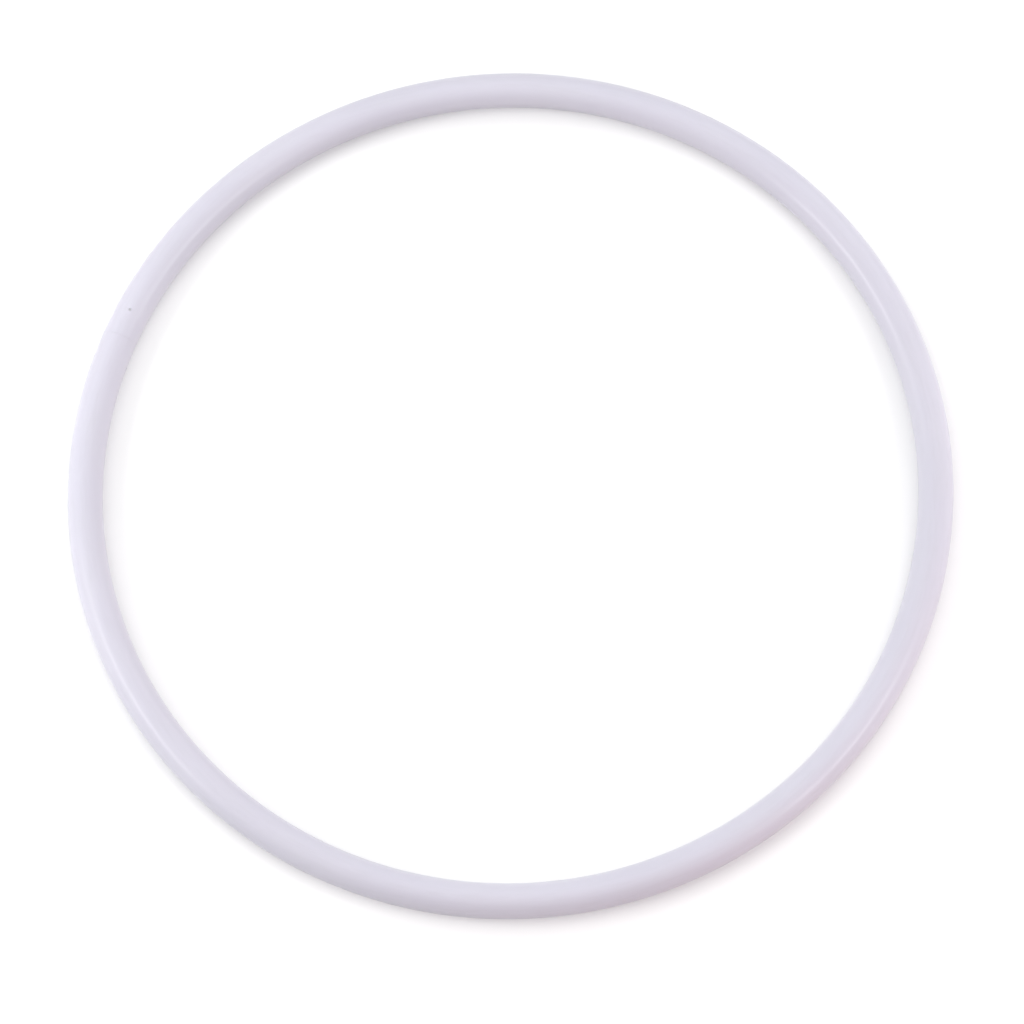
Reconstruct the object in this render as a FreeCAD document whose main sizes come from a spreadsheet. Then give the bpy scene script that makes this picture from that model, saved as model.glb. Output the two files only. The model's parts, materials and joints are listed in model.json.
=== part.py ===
"""A children's rhythmic gymnastics hoop, in millimetres, +Z up.

The hoop lies flat, with the centre of its ring at the origin. It is one extruded plastic tube,
bent round until its two ends butt together on the -X side. A hollow moulded plug inside the
tube bridges that seam: its band keeps the two ends level, its barbs grip the bore, and one
steel pin on each side of the seam locks the tube to the plug. The top pin is driven from above
and the inner pin from the middle of the ring, so the joint can't hinge about either of them.
"""
import FreeCAD, Part
import Sketcher

import math
import os

PARTS_FOLDER = "parts"

# name, value in mm (barb_count is a plain number), what it is
SIZES = [
    ("hoop_diameter", 630, "outside of the ring"),
    ("tube_diameter", 25, "outside of the tube"),
    ("tube_wall", 2, "wall of the tube"),
    ("seam_gap", 0.05, "gap left between the butted ends"),
    ("end_break", 0.08, "broken edge round each tube end"),
    ("plug_length", 110, "plug, along the ring's centreline"),
    ("plug_diameter", 20.4, "plug, loose in the bore so that it slides round the bend"),
    ("plug_bore", 13, "cored-out middle of the plug"),
    ("nose_chamfer", 1.5, "lead-in on each nose of the plug"),
    ("band_width", 8, "band under the seam"),
    ("band_play", 0.05, "gap between the band and the bore, on the radius"),
    ("barb_count", 3, "barbs on each half of the plug"),
    ("barb_start", 30, "seam to the shoulder of the first barb"),
    ("barb_pitch", 7.5, "shoulder to shoulder"),
    ("barb_length", 6, "shoulder to where the sloping side reaches its root"),
    ("barb_bite", 0.05, "how far a shoulder bites into the bore, on the radius"),
    ("rib_root", 0.4, "how deep the band and barbs are rooted in the plug's wall"),
    ("pin_offset", 20, "seam to each pin, along the centreline"),
    ("pin_diameter", 2, "pins and their holes"),
    ("pin_length", 6.5, "pins, with the point"),
    ("pin_edge", 0.2, "chamfer round a pin's head"),
    ("pin_point", 0.8, "tapered point of a pin"),
    ("pin_recess", 0.2, "tube surface down to a pin's head"),
]

RING_RADIUS = "(Sizes.hoop_diameter - Sizes.tube_diameter) / 2"
TUBE_RADIUS = "Sizes.tube_diameter / 2"
BORE_RADIUS = "(Sizes.tube_diameter / 2 - Sizes.tube_wall)"
PLUG_RADIUS = "Sizes.plug_diameter / 2"
RIB_ROOT = f"({PLUG_RADIUS} - Sizes.rib_root)"
BARB_RADIUS = f"({BORE_RADIUS} + Sizes.barb_bite)"
PIN_DEPTH = f"({TUBE_RADIUS} - Sizes.pin_recess)"

ACROSS_RING = FreeCAD.Vector(1, 0, 0)
ALONG_TUBE = FreeCAD.Vector(0, 1, 0)
UP = FreeCAD.Vector(0, 0, 1)
MINUS_X_SIDE = -1
PLUS_X_SIDE = 1


def degrees_along(length):
    """Expression for the turn about the ring's centre that a length of its centreline takes."""
    return f"({length}) / ({RING_RADIUS}) * 180 / pi"


def value_of(item, expression):
    """Today's value of an expression on the sheet's cells."""
    return float(item.evalExpression(expression))


def make_sheet(doc):
    """The spreadsheet that drives every size."""
    sheet = doc.addObject("Spreadsheet::Sheet", "Sizes")
    for row, (name, value, what) in enumerate(SIZES, start=1):
        sheet.set(f"A{row}", what)
        sheet.set(f"B{row}", str(value))
        sheet.setAlias(f"B{row}", name)
    doc.recompute()


def origin_feature(body, role):
    return next(feature for feature in body.Origin.OriginFeatures if feature.Role == role)


def new_sketch(body, name, plane, turn=None, about=UP):
    """A sketch on one of the body's origin planes, turned about one of its own axes if asked."""
    sketch = body.newObject("Sketcher::SketchObject", name)
    sketch.AttachmentSupport = [(origin_feature(body, plane), "")]
    sketch.MapMode = "FlatFace"
    if turn:
        offset = FreeCAD.Placement(FreeCAD.Vector(), FreeCAD.Rotation(about, value_of(sketch, turn)))
        sketch.AttachmentOffset = offset
        sketch.setExpression("AttachmentOffset.Rotation.Angle", turn)
    return sketch


def constrain(sketch, *what):
    return sketch.addConstraint(Sketcher.Constraint(*what))


def dimension(sketch, expression, *what):
    """Adds a dimension to the sketch and ties it to the sheet."""
    index = constrain(sketch, *what, value_of(sketch, expression))
    sketch.setExpression(f"Constraints[{index}]", expression)


def draw_polygon(sketch, corners):
    """Closed outline through the corners. Level and upright sides stay so. Returns the sides."""
    points = [FreeCAD.Vector(x, y, 0) for x, y in corners]
    sides = [
        sketch.addGeometry(Part.LineSegment(start, end))
        for start, end in zip(points, points[1:] + points[:1])
    ]
    for side, following in zip(sides, sides[1:] + sides[:1]):
        constrain(sketch, "Coincident", side, 2, following, 1)
    for side, start, end in zip(sides, points, points[1:] + points[:1]):
        if start.y == end.y:
            constrain(sketch, "Horizontal", side)
        elif start.x == end.x:
            constrain(sketch, "Vertical", side)
    return sides


def draw_rings(sketch, x_side, radii):
    """Concentric circles where the ring's centreline crosses the X axis, on one side of it."""
    centre = ACROSS_RING * x_side * value_of(sketch, RING_RADIUS)
    circles = []
    for radius in radii:
        circle = sketch.addGeometry(Part.Circle(centre, UP, value_of(sketch, radius)))
        dimension(sketch, radius, "Radius", circle)
        circles.append(circle)
    constrain(sketch, "PointOnObject", circles[0], 3, -1)
    constrain(sketch, "Coincident", circles[1], 3, circles[0], 3)
    root_to_centre = (-1, 1, circles[0], 3) if x_side > 0 else (circles[0], 3, -1, 1)
    dimension(sketch, RING_RADIUS, "DistanceX", *root_to_centre)


def bend_tube(body, name, x_side, radii, angle):
    """A stretch of hollow tube round the Z axis, half of it each side of the X axis."""
    sketch = new_sketch(body, f"{name}_section", "XZ_Plane")
    draw_rings(sketch, x_side, radii)
    bend = body.newObject("PartDesign::Revolution", name)
    bend.Profile = sketch
    bend.ReferenceAxis = (sketch, ["V_Axis"])
    bend.Midplane = True
    bend.setExpression("Angle", angle)
    body.Document.recompute()
    return bend


def chamfer_rims(body, name, bend, radius, size):
    """Chamfers the rims of that radius at both ends of a bent tube."""
    wanted = value_of(bend, radius)
    rims = [
        f"Edge{number}"
        for number, edge in enumerate(bend.Shape.Edges, start=1)
        if isinstance(edge.Curve, Part.Circle) and math.isclose(edge.Curve.Radius, wanted)
    ]
    if len(rims) != 2:
        raise RuntimeError(f"{name} found {len(rims)} rims, not 2")
    chamfer = body.newObject("PartDesign::Chamfer", name)
    chamfer.Base = (bend, rims)
    chamfer.setExpression("Size", size)
    body.Document.recompute()


def drill(body, name, sketch, length, upward):
    """Cuts a sketched hole and makes sure that it met material."""
    before = body.Shape.Volume
    pocket = body.newObject("PartDesign::Pocket", name)
    pocket.Profile = sketch
    pocket.Reversed = upward
    pocket.setExpression("Length", length)
    body.Document.recompute()
    if body.Shape.Volume >= before:
        raise RuntimeError(f"{name} cut nothing from {body.Label}")


def drill_pin_holes(body):
    """One hole for the top pin, on the +Y side of the seam, and one for the inner pin."""
    turn = degrees_along("Sizes.pin_offset")
    radius = value_of(body, "Sizes.pin_diameter") / 2
    top = new_sketch(body, "top_pin_hole_section", "XY_Plane", f"-({turn})")
    centre = -ACROSS_RING * value_of(top, RING_RADIUS)
    circle = top.addGeometry(Part.Circle(centre, UP, radius))
    constrain(top, "PointOnObject", circle, 3, -1)
    dimension(top, RING_RADIUS, "DistanceX", circle, 3, -1, 1)
    dimension(top, "Sizes.pin_diameter", "Diameter", circle)
    drill(body, "top_pin_hole", top, "Sizes.tube_diameter", upward=True)

    inner = new_sketch(body, "inner_pin_hole_section", "YZ_Plane", turn, about=ALONG_TUBE)
    circle = inner.addGeometry(Part.Circle(FreeCAD.Vector(), UP, radius))
    constrain(inner, "Coincident", circle, 3, -1, 1)
    dimension(inner, "Sizes.pin_diameter", "Diameter", circle)
    drill(body, "inner_pin_hole", inner, RING_RADIUS, upward=False)


def draw_tube_axis(sketch, reach):
    """Construction line along the tube, square to the X axis where the centreline crosses it."""
    start = -ACROSS_RING * value_of(sketch, RING_RADIUS)
    end = start + ALONG_TUBE * value_of(sketch, reach)
    axis = sketch.addGeometry(Part.LineSegment(start, end), True)
    constrain(sketch, "Vertical", axis)
    constrain(sketch, "PointOnObject", axis, 1, -1)
    dimension(sketch, RING_RADIUS, "DistanceX", axis, 1, -1, 1)
    dimension(sketch, reach, "DistanceY", axis, 1, axis, 2)
    return axis


def cut_seam(body):
    """Parts the ring on the -X side: a hairline through the wall, with its outer rims broken."""
    sketch = new_sketch(body, "seam_section", "XY_Plane")
    axis = draw_tube_axis(sketch, "Sizes.seam_gap / 2")
    ring = -value_of(sketch, RING_RADIUS)
    inside = ring + value_of(sketch, PLUG_RADIUS)
    rim = ring + value_of(sketch, f"{TUBE_RADIUS} - Sizes.end_break")
    outside = ring + value_of(sketch, f"{TUBE_RADIUS} + Sizes.end_break")
    gap = value_of(sketch, "Sizes.seam_gap / 2")
    mouth = gap + 2 * value_of(sketch, "Sizes.end_break")
    bottom, low_slope, open_end, high_slope, top, _ = draw_polygon(
        sketch,
        [(inside, -gap), (rim, -gap), (outside, -mouth), (outside, mouth), (rim, gap), (inside, gap)],
    )
    constrain(sketch, "Symmetric", bottom, 2, top, 1, -1)
    constrain(sketch, "Equal", low_slope, high_slope)
    dimension(sketch, PLUG_RADIUS, "DistanceX", axis, 1, top, 2)
    dimension(sketch, f"{TUBE_RADIUS} - Sizes.end_break", "DistanceX", axis, 1, top, 1)
    dimension(sketch, f"{TUBE_RADIUS} + Sizes.end_break", "DistanceX", axis, 1, open_end, 2)
    dimension(sketch, "Sizes.seam_gap", "DistanceY", bottom, 1, top, 2)
    dimension(sketch, "Sizes.seam_gap + 4 * Sizes.end_break", "DistanceY", open_end, 1, open_end, 2)
    before = body.Shape.Volume
    seam = body.newObject("PartDesign::Groove", "seam")
    seam.Profile = sketch
    seam.ReferenceAxis = (sketch, ["Axis0"])
    seam.Angle = 360
    body.Document.recompute()
    if body.Shape.Volume >= before:
        raise RuntimeError("the seam cut nothing")


def make_tube(doc):
    """The extruded tube, bent into a full ring and parted by the hairline of its seam."""
    body = doc.addObject("PartDesign::Body", "hoop_tube")
    bend_tube(body, "tube", PLUS_X_SIDE, [TUBE_RADIUS, BORE_RADIUS], "360")
    cut_seam(body)
    drill_pin_holes(body)
    return body


def draw_barb(sketch):
    """Half section of a barb beside the tube's centreline, its shoulder towards the seam."""
    axis = draw_tube_axis(sketch, "Sizes.barb_length")
    ring = -value_of(sketch, RING_RADIUS)
    root = ring + value_of(sketch, RIB_ROOT)
    crest = ring + value_of(sketch, BARB_RADIUS)
    length = value_of(sketch, "Sizes.barb_length")
    shoulder, _, inside = draw_polygon(sketch, [(root, 0), (crest, 0), (root, length)])
    constrain(sketch, "PointOnObject", shoulder, 1, -1)
    constrain(sketch, "Equal", axis, inside)
    dimension(sketch, BARB_RADIUS, "DistanceX", axis, 1, shoulder, 2)
    dimension(sketch, RIB_ROOT, "DistanceX", axis, 1, shoulder, 1)


def add_barbs(body):
    """A row of barbs along one half of the plug, mirrored onto the other half."""
    start = degrees_along("Sizes.barb_start")
    sketch = new_sketch(body, "barb_section", "XY_Plane", f"-({start})")
    draw_barb(sketch)
    barb = body.newObject("PartDesign::Revolution", "barb")
    barb.Profile = sketch
    barb.ReferenceAxis = (sketch, ["Axis0"])
    barb.Angle = 360
    body.Document.recompute()

    barbs = body.newObject("PartDesign::MultiTransform", "barbs")
    row = body.newObject("PartDesign::PolarPattern", "barb_row")
    row.Axis = (origin_feature(body, "Z_Axis"), [""])
    row.Reversed = True
    row.setExpression("Occurrences", "Sizes.barb_count")
    row.setExpression("Angle", degrees_along("(Sizes.barb_count - 1) * Sizes.barb_pitch"))
    other_half = body.newObject("PartDesign::Mirrored", "barb_mirror")
    other_half.MirrorPlane = (origin_feature(body, "XZ_Plane"), [""])
    barbs.Originals = [barb]
    barbs.Transformations = [row, other_half]
    body.Tip = barbs
    body.Document.recompute()


def make_plug(doc):
    """The hollow moulded plug inside the joint, curved to the same radius as the tube."""
    body = doc.addObject("PartDesign::Body", "joint_plug")
    wall = [PLUG_RADIUS, "Sizes.plug_bore / 2"]
    core = bend_tube(body, "plug", MINUS_X_SIDE, wall, degrees_along("Sizes.plug_length"))
    chamfer_rims(body, "noses", core, PLUG_RADIUS, "Sizes.nose_chamfer")
    band = [f"{BORE_RADIUS} - Sizes.band_play", RIB_ROOT]
    bend_tube(body, "seam_band", MINUS_X_SIDE, band, degrees_along("Sizes.band_width"))
    add_barbs(body)
    drill_pin_holes(body)
    return body


def make_pin(doc, name, place):
    """A steel drive pin, head upwards at its own origin, then set in its place."""
    body = doc.addObject("PartDesign::Body", name)
    sketch = new_sketch(body, f"{name}_half", "XZ_Plane")
    radius = value_of(sketch, "Sizes.pin_diameter") / 2
    length = value_of(sketch, "Sizes.pin_length")
    edge = value_of(sketch, "Sizes.pin_edge")
    point = value_of(sketch, "Sizes.pin_point")
    tip = radius / 2
    head, _, shank, _, end, axis = draw_polygon(
        sketch,
        [
            (0, 0),
            (radius - edge, 0),
            (radius, -edge),
            (radius, point - length),
            (tip, -length),
            (0, -length),
        ],
    )
    constrain(sketch, "Coincident", axis, 2, -1, 1)
    dimension(sketch, "Sizes.pin_diameter / 2 - Sizes.pin_edge", "DistanceX", head, 1, head, 2)
    dimension(sketch, "Sizes.pin_diameter / 2", "DistanceX", head, 1, shank, 1)
    dimension(sketch, "Sizes.pin_edge", "DistanceY", shank, 1, head, 2)
    dimension(sketch, "Sizes.pin_length - Sizes.pin_point", "DistanceY", shank, 2, head, 2)
    dimension(sketch, "Sizes.pin_diameter / 4", "DistanceX", end, 2, end, 1)
    dimension(sketch, "Sizes.pin_length", "DistanceY", axis, 1, axis, 2)
    turned = body.newObject("PartDesign::Revolution", f"{name}_turned")
    turned.Profile = sketch
    turned.ReferenceAxis = (sketch, ["V_Axis"])
    turned.Angle = 360
    body.setExpression("Placement", place)
    doc.recompute()
    return body


def make_pins(doc):
    """The top pin stands upright; the inner pin lies level, its head towards the ring's centre."""
    turn = degrees_along("Sizes.pin_offset")
    top_turn = f"placement(vector(0; 0; 0); rotation(vector(0; 0; 1); -({turn})))"
    top_place = f"placement(vector(-({RING_RADIUS}); 0; {PIN_DEPTH}); rotation(vector(0; 0; 1); 0))"
    inner_turn = f"placement(vector(0; 0; 0); rotation(vector(0; 0; 1); {turn}))"
    inner_place = f"placement(vector({PIN_DEPTH} - {RING_RADIUS}; 0; 0); rotation(vector(0; 1; 0); 90))"
    return [
        make_pin(doc, "top_pin", f"{top_turn} * {top_place}"),
        make_pin(doc, "inner_pin", f"{inner_turn} * {inner_place}"),
    ]


def check_model(doc, nodes):
    """Stops before anything is written if a feature failed or a solid isn't sound."""
    for item in doc.Objects:
        if "Invalid" in item.State or "Error" in item.State:
            raise RuntimeError(f"{item.Label} failed: {item.State}")
    for node in nodes:
        shape = node.Shape
        if shape.isNull() or not shape.isValid() or len(shape.Solids) != 1:
            raise RuntimeError(f"{node.Label} isn't one sound solid")


def main():
    doc = FreeCAD.newDocument("rhythmic_hoop")
    make_sheet(doc)
    nodes = [make_tube(doc), make_plug(doc)] + make_pins(doc)
    doc.recompute()
    check_model(doc, nodes)
    os.makedirs(PARTS_FOLDER, exist_ok=True)
    for node in nodes:
        node.Shape.exportStep(os.path.join(PARTS_FOLDER, f"{node.Label}.step"))
        print(f"{node.Label}: {node.Shape.Volume:.1f} mm3")


main()
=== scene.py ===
"""Looks of the rhythmic hoop, in metres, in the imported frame's own axes.

The tube is rebuilt as a finer mesh of the same size: its outside, its bore, its two butted ends
and the two pin holes. The plug and the pins stay as packed and get their materials here. The
hoop lies on a pale studio floor under soft light.
"""
import json
import math

import bmesh
import bpy
import numpy as np
from mathutils import Matrix, Vector


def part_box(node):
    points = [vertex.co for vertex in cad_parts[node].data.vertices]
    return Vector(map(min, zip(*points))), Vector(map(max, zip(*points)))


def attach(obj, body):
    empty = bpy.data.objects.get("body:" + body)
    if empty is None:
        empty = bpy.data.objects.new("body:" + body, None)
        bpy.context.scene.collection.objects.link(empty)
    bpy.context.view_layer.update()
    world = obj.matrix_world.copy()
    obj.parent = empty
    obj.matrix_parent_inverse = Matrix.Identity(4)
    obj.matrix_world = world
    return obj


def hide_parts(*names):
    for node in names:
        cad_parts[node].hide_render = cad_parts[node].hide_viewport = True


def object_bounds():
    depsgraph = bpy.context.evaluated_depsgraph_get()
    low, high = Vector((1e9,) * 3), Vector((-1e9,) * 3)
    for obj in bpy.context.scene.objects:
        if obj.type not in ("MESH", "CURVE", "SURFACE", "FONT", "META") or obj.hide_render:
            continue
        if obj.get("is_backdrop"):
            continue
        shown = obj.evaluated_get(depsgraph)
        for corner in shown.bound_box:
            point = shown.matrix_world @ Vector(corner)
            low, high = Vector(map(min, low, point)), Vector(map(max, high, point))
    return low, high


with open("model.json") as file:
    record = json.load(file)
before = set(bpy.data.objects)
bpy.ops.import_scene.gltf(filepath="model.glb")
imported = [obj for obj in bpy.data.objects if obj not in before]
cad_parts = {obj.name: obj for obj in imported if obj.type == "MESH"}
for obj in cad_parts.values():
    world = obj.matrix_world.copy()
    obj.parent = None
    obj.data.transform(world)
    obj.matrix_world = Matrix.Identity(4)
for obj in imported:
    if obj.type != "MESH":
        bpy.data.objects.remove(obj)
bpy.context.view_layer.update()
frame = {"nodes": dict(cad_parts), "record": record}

MM = 0.001

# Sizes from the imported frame
MOUNTS = {mount["name"]: mount for mount in frame["record"]["mounts"]}
RING_RADIUS = MOUNTS["tube_clip"]["pos_m"][0]
TUBE_RADIUS = MOUNTS["tube_clip"]["dims"]["r_mm"] * MM
RING_LENGTH = 2 * math.pi * RING_RADIUS

# The finer tube: its wall, its seam and its pin holes
TUBE_WALL = 2 * MM
BORE_RADIUS = TUBE_RADIUS - TUBE_WALL
SEAM_GAP = 0.03 * MM
END_BREAK = 0.05 * MM
HOLE_PLAY = 0.02 * MM
HOLE_EDGE = 0.12 * MM
LIP_HEIGHT = 0.06 * MM
LIP_WIDTH = 0.45 * MM
SWELL_HEIGHT = 0.05 * MM
SWELL_REACH = 56 * MM
SWELL_FADE = 10 * MM
WAVE_HEIGHT = 0.035 * MM
# Each ripple: waves round the ring, turns round the tube, shift, share
RIPPLES = [(17, 2, 0.0, 1.0), (41, -1, 1.3, 1.0), (73, 3, 0.4, 0.6)]

# The finer tube: how finely it is divided
SECTION_POINTS = 96
SECTION_TURN = 2 * math.pi / SECTION_POINTS
HOLE_CELLS = 3
NEAR_STEP = 1.2 * MM
JOINT_STEP = 2 * MM
FAR_STEP = 6 * MM
JOINT_REACH = 62 * MM
SHARP_ANGLE = math.radians(35)
# Radii of the rings between a block's square edge and its round hole, outside and in the bore
LIP_RINGS = [2.0 * MM, 1.7 * MM, 1.45 * MM, 1.28 * MM]
BORE_RINGS = [1.6 * MM, 1.35 * MM]
# Degrees round the hole's rounded edge
HOLE_EDGE_TURNS = (0, 30, 60, 90)

# Most of a noise's values lie between these two
SPREAD = (0.3, 0.7)

# Camera
CAMERA_AZIMUTH = 26.7
CAMERA_ELEVATION = 72.5
CAMERA_DISTANCE = 4.0
CAMERA_LENS = 198.0
CAMERA_ROLL = -4.9
AIM_NEARER = 0.0189
SENSOR_WIDTH = 36.0

# Studio lamps: name, azimuth, elevation, distance, width, height, power; degrees, metres, watts.
# The right fill is the share of the right window's light that gives no highlight.
SHINING_LAMPS = [
    ("left_window", -84, 39, 5.0, 2.7, 0.8, 55),
    ("right_window", 60, 38, 5.0, 2.7, 0.8, 47),
    ("tent_top", 180, 82, 6.0, 6.0, 6.0, 38),
]
FILL_LAMPS = [
    ("right_fill", 60, 38, 5.0, 2.7, 0.8, 10),
    ("tent_back_left", -140, 35, 3.0, 1.5, 1.5, 14),
    ("tent_back_right", 140, 35, 3.0, 1.5, 1.5, 18),
    ("tent_left", -95, 30, 1.1, 0.5, 0.5, 1.3),
    ("strip_left", -95, 9, 2.2, 1.6, 0.6, 13),
    ("strip_right", 95, 9, 2.2, 1.6, 0.6, 12),
]
PINK_CARD = ("pink_card", 36, 12, 1.2, 0.5, 0.5, 1.0)
FLOOR_LAMP = ("floor_lamp", 0, 90, 2.5, 3.0, 3.0, 16)
WHITE = (1.0, 1.0, 1.0)
PINK = (1.0, 0.1, 0.15)
AIR_STRENGTH = 0.485
FLOOR_REACH = 20.0


# ------------------------------------------------------------------------- the tube's surfaces
def along_of(point):
    """Distance along the tube, from the seam towards the top pin, of a point on the ring."""
    turn = (math.pi - math.atan2(point.y, point.x)) % (2 * math.pi)
    return turn * RING_RADIUS


def bend(along, across, up):
    """Bends straight tube points round the ring. Across points outwards and up is +Z."""
    turn = math.pi - along / RING_RADIUS
    reach = RING_RADIUS + across
    return np.stack([reach * np.cos(turn), reach * np.sin(turn), up], axis=-1)


def smooth(share):
    """Eases a share from 0 to 1 and holds its ends."""
    share = np.clip(share, 0, 1)
    return share * share * (3 - 2 * share)


def outside_radius(along, angle):
    """Radius of the tube's outside, with an extruded wall's slow ripple and the plug's swelling."""
    turn = along / RING_RADIUS
    ripple = sum(
        share * np.sin(waves * turn + twist * angle + shift)
        for waves, twist, shift, share in RIPPLES
    )
    shares = sum(share for waves, twist, shift, share in RIPPLES)
    from_seam = np.minimum(along, RING_LENGTH - along)
    swelling = SWELL_HEIGHT * smooth((SWELL_REACH - from_seam) / SWELL_FADE)
    return TUBE_RADIUS + WAVE_HEIGHT * ripple / shares + swelling


def bore_radius(along, angle):
    """Radius of the bore, which is plain."""
    return np.full(np.broadcast(along, angle).shape, BORE_RADIUS)


def surface_point(radius_of, along, angle, lift=0.0):
    """Where a point of the outside or the bore lies in the row frame."""
    radius = radius_of(along, angle) + lift
    return bend(along, radius * np.cos(angle), radius * np.sin(angle))


# ---------------------------------------------------------------------------- the tube's mesh
class PinHole:
    """A pin's place on the tube, and the square block of cells that its hole is cut in."""

    def __init__(self, node, angle):
        low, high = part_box(node)
        self.along = along_of((low + high) / 2)
        self.angle = angle
        self.radius = min(high - low) / 2 + HOLE_PLAY
        self.half = HOLE_CELLS * SECTION_TURN * TUBE_RADIUS
        self.section = round(angle / SECTION_TURN)

    def point(self, radius_of, offset, lift):
        """A point of the wall that is offset (along the tube, round the tube) from the pin's axis."""
        level = radius_of(self.along, self.angle)
        turn = np.arcsin(offset[1] / level)
        across = level * np.cos(self.angle + turn)
        stretch = RING_RADIUS / (RING_RADIUS + across)
        return surface_point(
            radius_of, self.along + offset[0] * stretch, self.angle + turn, lift
        )


class TubeMesh:
    """Collects points and faces, and turns them into one closed mesh."""

    def __init__(self):
        self.points = []
        self.faces = []

    def add(self, point):
        self.points.append(tuple(point))
        return len(self.points) - 1

    def bridge(self, ring, other):
        """Quads between two closed rings of the same number of points."""
        for i in range(len(ring)):
            j = (i + 1) % len(ring)
            self.faces.append((ring[i], ring[j], other[j], other[i]))

    def make(self, name):
        """The mesh, without the points that the hole blocks left over."""
        used = sorted({i for face in self.faces for i in face})
        place = {old: new for new, old in enumerate(used)}
        mesh = bpy.data.meshes.new(name)
        mesh.from_pydata([self.points[i] for i in used], [], [[place[i] for i in f] for f in self.faces])
        work = bmesh.new()
        work.from_mesh(mesh)
        bmesh.ops.recalc_face_normals(work, faces=work.faces)
        work.to_mesh(mesh)
        work.free()
        mesh.shade_smooth()
        mesh.set_sharp_from_angle(angle=SHARP_ANGLE)
        return mesh


def steps(start, end, step):
    """Even stations from start up to, but not including, end."""
    return list(np.linspace(start, end, math.ceil((end - start) / step), endpoint=False))


def tube_stations(holes):
    """Distances along the tube of its cross-sections, closest together at the pins."""
    first = SEAM_GAP / 2 + END_BREAK
    hole = holes[0]
    half_block = list(np.linspace(hole.along - hole.half, hole.along + hole.half, 2 * HOLE_CELLS + 1))
    joint = (
        steps(first, half_block[0], NEAR_STEP)
        + half_block[:-1]
        + steps(half_block[-1], JOINT_REACH, JOINT_STEP)
    )
    middle = steps(JOINT_REACH, RING_LENGTH - JOINT_REACH, FAR_STEP)
    return np.array(joint + middle + [RING_LENGTH - s for s in reversed(joint)])


def add_wall(tube, radius_of, stations, holes):
    """One skin of the tube, less the blocks round its holes. Returns its grid of point numbers."""
    angles = np.arange(SECTION_POINTS) * SECTION_TURN
    grid = [
        [tube.add(surface_point(radius_of, along, angle)) for angle in angles] for along in stations
    ]
    blocked = set()
    for hole in holes:
        first = int(np.abs(stations - hole.along).argmin()) - HOLE_CELLS
        hole.first_station = first
        for i in range(first, first + 2 * HOLE_CELLS):
            for j in range(hole.section - HOLE_CELLS, hole.section + HOLE_CELLS):
                blocked.add((i, j))
    for i in range(len(stations) - 1):
        for j in range(SECTION_POINTS):
            if (i, j) not in blocked:
                k = (j + 1) % SECTION_POINTS
                tube.faces.append((grid[i][j], grid[i + 1][j], grid[i + 1][k], grid[i][k]))
    return grid


def block_edge(hole):
    """Steps round a hole's block, each (stations, sections) from the block's middle."""
    n = HOLE_CELLS
    side = range(-n, n)
    return (
        [(i, -n) for i in side]
        + [(n, j) for j in side]
        + [(-i, n) for i in side]
        + [(-n, -j) for j in side]
    )


def add_hole_rings(tube, hole, radius_of, grid, rings):
    """Fills the block with rings that turn from its square edge into the round hole.

    Each ring is (share, radius, lift): how far it has turned round, its radius and how far it
    stands off the wall. Returns the last ring."""
    edge = block_edge(hole)
    middle_station = hole.first_station + HOLE_CELLS
    before = [grid[middle_station + i][hole.section + j] for i, j in edge]
    level = float(radius_of(hole.along, hole.angle))
    for share, radius, lift in rings:
        ring = []
        for i, j in edge:
            square = Vector((i * hole.half / HOLE_CELLS, level * math.sin(j * SECTION_TURN)))
            round_point = Vector((i, j)).normalized() * radius
            offset = square.lerp(round_point, share)
            ring.append(tube.add(hole.point(radius_of, offset, lift)))
        tube.bridge(before, ring)
        before = ring
    return before


def add_hole(tube, hole, outside, bore):
    """Cuts a pin's hole: a raised lip, a rounded edge, and a straight side down to the bore."""
    rim = hole.radius + HOLE_EDGE

    def lip(radius):
        return LIP_HEIGHT * math.exp(-(((radius - rim) / LIP_WIDTH) ** 2))

    rings = [(0.5, LIP_RINGS[0], 0.0)] + [(1.0, radius, lip(radius)) for radius in LIP_RINGS]
    for degrees in HOLE_EDGE_TURNS:
        turn = math.radians(degrees)
        radius = rim - HOLE_EDGE * math.sin(turn)
        rings.append((1.0, radius, LIP_HEIGHT - HOLE_EDGE * (1 - math.cos(turn))))
    top = add_hole_rings(tube, hole, outside_radius, outside, rings)
    bottom_rings = [(0.5, BORE_RINGS[0], 0.0), (1.0, BORE_RINGS[1], 0.0), (1.0, hole.radius, 0.0)]
    bottom = add_hole_rings(tube, hole, bore_radius, bore, bottom_rings)
    tube.bridge(top, bottom)


def add_end(tube, outside_ring, bore_ring, along):
    """The flat end of the tube, with its outer rim broken."""
    rim = []
    for section in range(SECTION_POINTS):
        angle = section * SECTION_TURN
        rim.append(tube.add(surface_point(outside_radius, along, angle, -END_BREAK)))
    tube.bridge(outside_ring, rim)
    tube.bridge(rim, bore_ring)


def make_tube():
    """The whole tube, from one butted end round to the other."""
    top = PinHole("top_pin", math.pi / 2)
    inner = PinHole("inner_pin", math.pi)
    inner.along = RING_LENGTH - top.along
    holes = [top, inner]
    stations = tube_stations(holes)
    ends = (SEAM_GAP / 2, RING_LENGTH - SEAM_GAP / 2)
    bore_stations = np.concatenate([ends[:1], stations[1:-1], ends[1:]])
    tube = TubeMesh()
    outside = add_wall(tube, outside_radius, stations, holes)
    bore = add_wall(tube, bore_radius, bore_stations, holes)
    for hole in holes:
        add_hole(tube, hole, outside, bore)
    add_end(tube, outside[0], bore[0], ends[0])
    add_end(tube, outside[-1], bore[-1], ends[1])
    piece = bpy.data.objects.new("ring_tube", tube.make("ring_tube"))
    bpy.context.scene.collection.objects.link(piece)
    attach(piece, "root")
    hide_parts("hoop_tube")
    return piece


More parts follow.
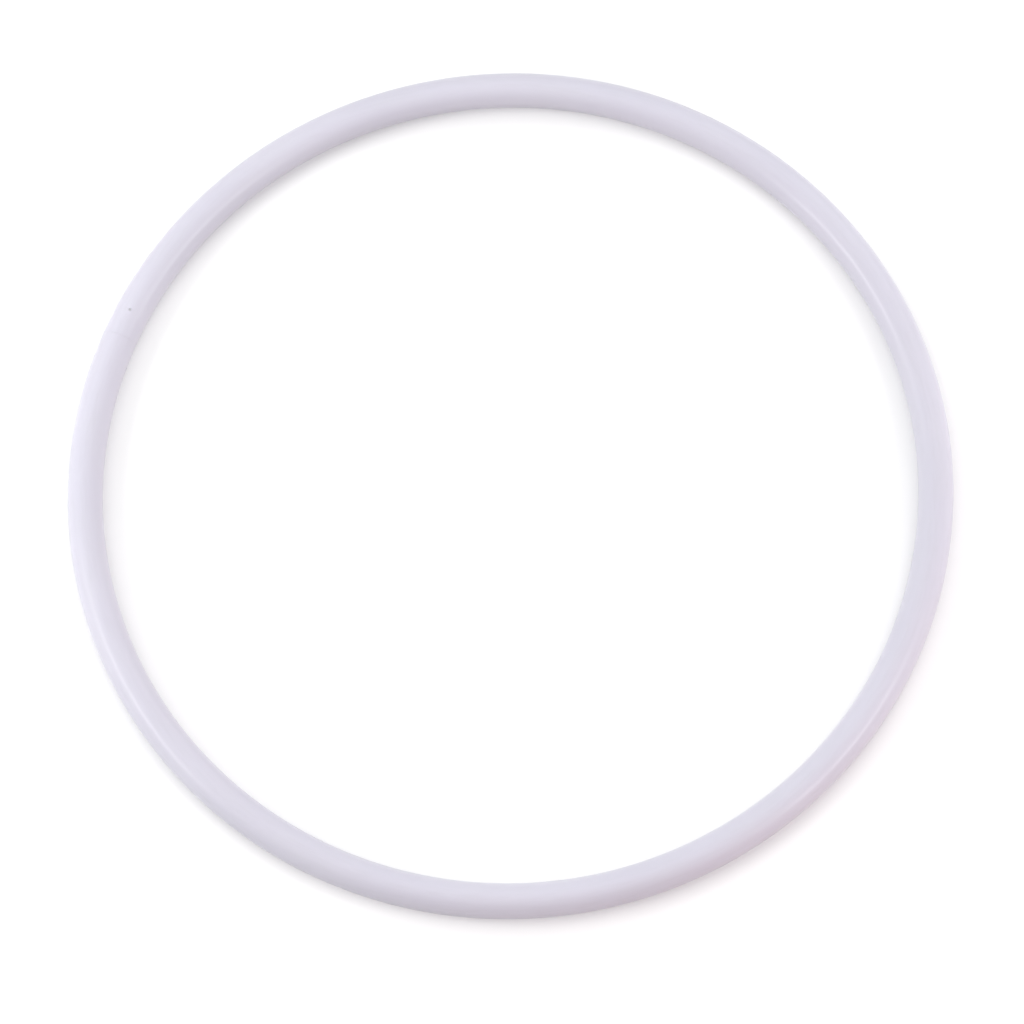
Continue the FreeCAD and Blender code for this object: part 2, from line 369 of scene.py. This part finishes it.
# --------------------------------------------------------------------------------- materials
class Nodes:
    """Short ways to add nodes to a material. Sockets and plain numbers can be passed alike."""

    def __init__(self, name):
        self.material = bpy.data.materials.new(name)
        self.material.use_nodes = True
        self.tree = self.material.node_tree
        self.shader = self.tree.nodes["Principled BSDF"]

    def add(self, kind, inputs=(), **settings):
        node = self.tree.nodes.new(kind)
        for name, value in settings.items():
            setattr(node, name, value)
        for key, value in dict(inputs).items():
            self.put(node.inputs[key], value)
        return node

    def put(self, socket, value):
        if isinstance(value, bpy.types.NodeSocket):
            self.tree.links.new(value, socket)
        else:
            socket.default_value = value

    def math(self, operation, first, second=0.0, clamp=False):
        node = self.add("ShaderNodeMath", {0: first, 1: second}, operation=operation, use_clamp=clamp)
        return node.outputs[0]

    def scaled(self, vector, factors):
        node = self.add("ShaderNodeVectorMath", {0: vector, 1: factors}, operation="MULTIPLY")
        return node.outputs[0]

    def noise(self, vector, per_metre, detail=2.0, roughness=0.5):
        inputs = {"Vector": vector, "Scale": per_metre, "Detail": detail, "Roughness": roughness}
        return self.add("ShaderNodeTexNoise", inputs).outputs["Fac"]

    def between(self, value, low, high, to_low=0.0, to_high=1.0):
        """Maps low..high smoothly to to_low..to_high and holds the ends."""
        node = self.add(
            "ShaderNodeMapRange",
            {"Value": value, "From Min": low, "From Max": high, "To Min": to_low, "To Max": to_high},
            interpolation_type="SMOOTHSTEP",
        )
        return node.outputs["Result"]

    def blend(self, factor, first, second):
        """Mixes two colours: all first where the factor is 0, all second where it is 1."""
        node = self.add("ShaderNodeMix", data_type="RGBA")
        self.put(node.inputs["Factor"], factor)
        for socket, colour in zip([s for s in node.inputs if s.type == "RGBA"], (first, second)):
            self.put(socket, colour if isinstance(colour, bpy.types.NodeSocket) else (*colour, 1.0))
        return next(s for s in node.outputs if s.type == "RGBA")

    def bump(self, height, distance, normal=None):
        """Relief this high, on top of the relief that normal already has."""
        inputs = {"Height": height, "Distance": distance, "Strength": 1.0}
        if normal is not None:
            inputs["Normal"] = normal
        return self.add("ShaderNodeBump", inputs).outputs["Normal"]

    def finish(self, **sockets):
        """Sets the shader's sockets, named with _ for a space, and returns the material."""
        for name, value in sockets.items():
            self.put(self.shader.inputs[name.replace("_", " ")], value)
        return self.material


def straightened(nodes):
    """The object's position as it lay in the tube before bending: along, outwards, up."""
    place = nodes.add("ShaderNodeTexCoord").outputs["Object"]
    parts = nodes.add("ShaderNodeSeparateXYZ", {0: place})
    plan = nodes.scaled(place, (1.0, 1.0, 0.0))
    reach = nodes.add("ShaderNodeVectorMath", {0: plan}, operation="LENGTH").outputs["Value"]
    across = nodes.math("SUBTRACT", reach, RING_RADIUS)
    turn = nodes.math("ARCTAN2", parts.outputs["Y"], parts.outputs["X"])
    along = nodes.math("MULTIPLY", turn, RING_RADIUS)
    joined = nodes.add("ShaderNodeCombineXYZ", {0: along, 1: across, 2: parts.outputs["Z"]})
    return place, joined.outputs[0], along, across, parts.outputs["Z"]


def tube_plastic():
    """Extruded white plastic: satin, drawn lengthwise, a little duller where floor and hand rub it."""
    nodes = Nodes("tube_plastic")
    place, straight, along, across, up = straightened(nodes)
    white_low = (0.640, 0.625, 0.713)
    white_high = (0.660, 0.645, 0.733)
    white_clouded = (0.652, 0.641, 0.703)
    rubbed_grey = (0.48, 0.47, 0.50)
    grime_grey = (0.30, 0.28, 0.29)

    # Drawing lines run the length of the tube; grain has no direction
    drawn = nodes.scaled(straight, (0.02, 1.0, 1.0))
    fine_lines = nodes.noise(drawn, 1100.0, detail=3.0)
    broad_lines = nodes.noise(drawn, 260.0, detail=2.0)
    grain = nodes.noise(place, 900.0, detail=3.0)
    mottle = nodes.noise(place, 9.0, detail=3.0)
    cloud = nodes.noise(nodes.scaled(straight, (0.25, 1.0, 1.0)), 60.0, detail=3.0)

    # Handling: on the outside of the ring and on the two flats where it lies
    rolled = nodes.between(across, 0.0, 12 * MM)
    lain = nodes.between(nodes.math("ABSOLUTE", up), 10.5 * MM, 12.5 * MM, 0.0, 0.7)
    scuffs = nodes.noise(nodes.scaled(straight, (0.12, 1.0, 1.0)), 420.0, detail=3.0)
    handled = nodes.math(
        "MULTIPLY", nodes.between(scuffs, 0.4, 0.75), nodes.math("MAXIMUM", rolled, lain)
    )
    hairlines = nodes.between(
        nodes.noise(nodes.scaled(straight, (0.05, 1.0, 0.7)), 1500.0, detail=1.0), 0.68, 0.8
    )

    # A trace of grime sits in the seam's groove
    half_ring = RING_LENGTH / 2
    from_seam = nodes.math("SUBTRACT", half_ring, nodes.math("ABSOLUTE", along))
    seam_grime = nodes.between(from_seam, 0.02 * MM, 0.07 * MM, 0.05, 0.0)

    colour = nodes.blend(nodes.between(mottle, *SPREAD), white_low, white_high)
    colour = nodes.blend(nodes.between(cloud, 0.4, 0.75, 0.0, 0.25), colour, white_clouded)
    colour = nodes.blend(nodes.math("MULTIPLY", handled, 0.12), colour, rubbed_grey)
    colour = nodes.blend(seam_grime, colour, grime_grey)

    # Satin all over, and never below 0.28: patches either side of 0.27 denoise into blotches
    roughness = nodes.between(cloud, *SPREAD, 0.285, 0.32)
    roughness = nodes.math("ADD", roughness, nodes.math("MULTIPLY", handled, 0.1))
    roughness = nodes.math("ADD", roughness, nodes.math("MULTIPLY", hairlines, 0.08), clamp=True)

    normal = nodes.bump(broad_lines, 0.015 * MM)
    normal = nodes.bump(fine_lines, 0.008 * MM, normal)
    normal = nodes.bump(grain, 0.006 * MM, normal)
    normal = nodes.bump(hairlines, -0.006 * MM, normal)
    return nodes.finish(
        Base_Color=colour,
        Roughness=roughness,
        Normal=normal,
        IOR=1.5,
        Subsurface_Weight=0.15,
        Subsurface_Radius=(1.0, 0.9, 1.0),
        Subsurface_Scale=2 * MM,
    )


def plug_plastic():
    """Moulded natural plastic, never polished because it is hidden."""
    nodes = Nodes("plug_plastic")
    place = nodes.add("ShaderNodeTexCoord").outputs["Object"]
    flow = nodes.noise(nodes.scaled(place, (1.0, 0.2, 1.0)), 180.0, detail=3.0)
    sparks = nodes.noise(place, 1400.0, detail=2.0)
    mottle = nodes.noise(place, 70.0, detail=4.0)
    natural_low = (0.60, 0.60, 0.56)
    natural_high = (0.68, 0.67, 0.63)
    flow_mark = (0.52, 0.51, 0.48)
    colour = nodes.blend(nodes.between(mottle, *SPREAD), natural_low, natural_high)
    colour = nodes.blend(nodes.between(flow, 0.6, 0.75, 0.0, 0.3), colour, flow_mark)
    roughness = nodes.between(sparks, *SPREAD, 0.5, 0.66)
    normal = nodes.bump(flow, 0.03 * MM)
    normal = nodes.bump(sparks, 0.015 * MM, normal)
    return nodes.finish(Base_Color=colour, Roughness=roughness, Normal=normal, IOR=1.5)


def pin_steel():
    """Drawn steel wire, gone dull, with a sheared head."""
    nodes = Nodes("pin_steel")
    place = nodes.add("ShaderNodeTexCoord").outputs["Object"]
    shear = nodes.noise(nodes.scaled(place, (1.0, 0.12, 0.12)), 9000.0, detail=3.0)
    spots = nodes.noise(place, 2600.0, detail=4.0, roughness=0.6)
    steel_low = (0.79, 0.79, 0.82)
    steel_high = (0.90, 0.90, 0.93)
    tarnish = (0.62, 0.61, 0.63)
    colour = nodes.blend(nodes.between(shear, *SPREAD), steel_low, steel_high)
    colour = nodes.blend(nodes.between(spots, 0.52, 0.68), colour, tarnish)
    roughness = nodes.between(spots, 0.35, 0.65, 0.38, 0.62)
    normal = nodes.bump(shear, 0.01 * MM)
    normal = nodes.bump(spots, 0.008 * MM, normal)
    return nodes.finish(Base_Color=colour, Roughness=roughness, Normal=normal, Metallic=1.0)


def floor_board():
    """A plain pale studio floor."""
    nodes = Nodes("floor_board")
    place = nodes.add("ShaderNodeTexCoord").outputs["Object"]
    tone = nodes.noise(place, 1.6, detail=3.0)
    tooth = nodes.noise(place, 1200.0, detail=2.0)
    pale_low = (0.94, 0.94, 0.943)
    pale_high = (0.96, 0.96, 0.962)
    colour = nodes.blend(nodes.between(tone, *SPREAD), pale_low, pale_high)
    return nodes.finish(Base_Color=colour, Roughness=0.7, Normal=nodes.bump(tooth, 0.01 * MM))


def give_material(piece, material):
    """A piece built here gets this one material."""
    piece.data.materials.clear()
    piece.data.materials.append(material)


def give_node_material(node, material):
    """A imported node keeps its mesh, so only the material in its slots changes."""
    for slot in frame["nodes"][node].material_slots:
        slot.material = material


# ------------------------------------------------------------------------- studio and camera
def facing(place, target):
    """The turn that aims a lamp or the camera from its place at a target."""
    return (Vector(target) - Vector(place)).to_track_quat("-Z", "Y")


def around(azimuth, elevation, distance):
    """A place round the hoop. Azimuth counts from the camera's side, anticlockwise from above."""
    turn = math.radians(CAMERA_AZIMUTH + azimuth)
    rise = math.radians(elevation)
    level = distance * math.cos(rise)
    return Vector((math.sin(turn) * level, -math.cos(turn) * level, distance * math.sin(rise)))


def softbox(row, colour=WHITE, shines=True, only=None):
    """A soft lamp aimed at the hoop, from one row of the tables above.

    A lamp that doesn't shine gives even light but no highlight. With only, it lights just that
    one object."""
    name, azimuth, elevation, distance, width, height, power = row
    place = around(azimuth, elevation, distance)
    lamp = bpy.data.lights.new(name, "AREA")
    lamp.shape = "RECTANGLE"
    lamp.size = width
    lamp.size_y = height
    lamp.energy = power
    lamp.color = colour
    box = bpy.data.objects.new(name, lamp)
    box.location = place
    box.rotation_mode = "QUATERNION"
    box.rotation_quaternion = facing(place, (0, 0, 0))
    box.visible_camera = False
    box.visible_glossy = shines
    bpy.context.scene.collection.objects.link(box)
    if only is not None:
        lit = bpy.data.collections.new(name + "_lights")
        lit.objects.link(only)
        box.light_linking.receiver_collection = lit


def make_studio(floor):
    """A bright tent of soft light. The two windows give the ring its four long highlights."""
    for row in SHINING_LAMPS:
        softbox(row)
    for row in FILL_LAMPS:
        softbox(row, shines=False)
    softbox(PINK_CARD, PINK, shines=False)
    softbox(FLOOR_LAMP, shines=False, only=floor)
    world = bpy.data.worlds.new("studio_air")
    world.use_nodes = True
    air = world.node_tree.nodes["Background"]
    air.inputs["Color"].default_value = (*WHITE, 1.0)
    air.inputs["Strength"].default_value = AIR_STRENGTH
    bpy.context.scene.world = world
    bpy.context.scene.view_settings.view_transform = "Standard"


def make_floor():
    """A wide pale floor that just touches the lowest point of the hoop, and throws no light back."""
    reach = FLOOR_REACH
    corners = [(-reach, -reach, 0), (reach, -reach, 0), (reach, reach, 0), (-reach, reach, 0)]
    mesh = bpy.data.meshes.new("floor")
    mesh.from_pydata(corners, [], [(0, 1, 2, 3)])
    floor = bpy.data.objects.new("floor", mesh)
    floor.location.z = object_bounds()[0][2]
    floor.visible_diffuse = False
    bpy.context.scene.collection.objects.link(floor)
    give_material(floor, floor_board())
    floor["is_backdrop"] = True
    return floor


def make_camera():
    """The long lens of the product picture, aimed a little to the near side of the middle."""
    lens = bpy.data.cameras.new("camera")
    lens.lens = CAMERA_LENS
    lens.sensor_width = SENSOR_WIDTH
    camera = bpy.data.objects.new("camera", lens)
    aim = around(0, 0, AIM_NEARER)
    camera.location = aim + around(0, CAMERA_ELEVATION, CAMERA_DISTANCE)
    roll = Matrix.Rotation(math.radians(CAMERA_ROLL), 3, "Z").to_quaternion()
    camera.rotation_mode = "QUATERNION"
    camera.rotation_quaternion = facing(camera.location, aim) @ roll
    bpy.context.scene.collection.objects.link(camera)
    bpy.context.scene.camera = camera


ring = make_tube()
give_material(ring, tube_plastic())
give_node_material("joint_plug", plug_plastic())
steel = pin_steel()
give_node_material("top_pin", steel)
give_node_material("inner_pin", steel)
make_studio(make_floor())
make_camera()
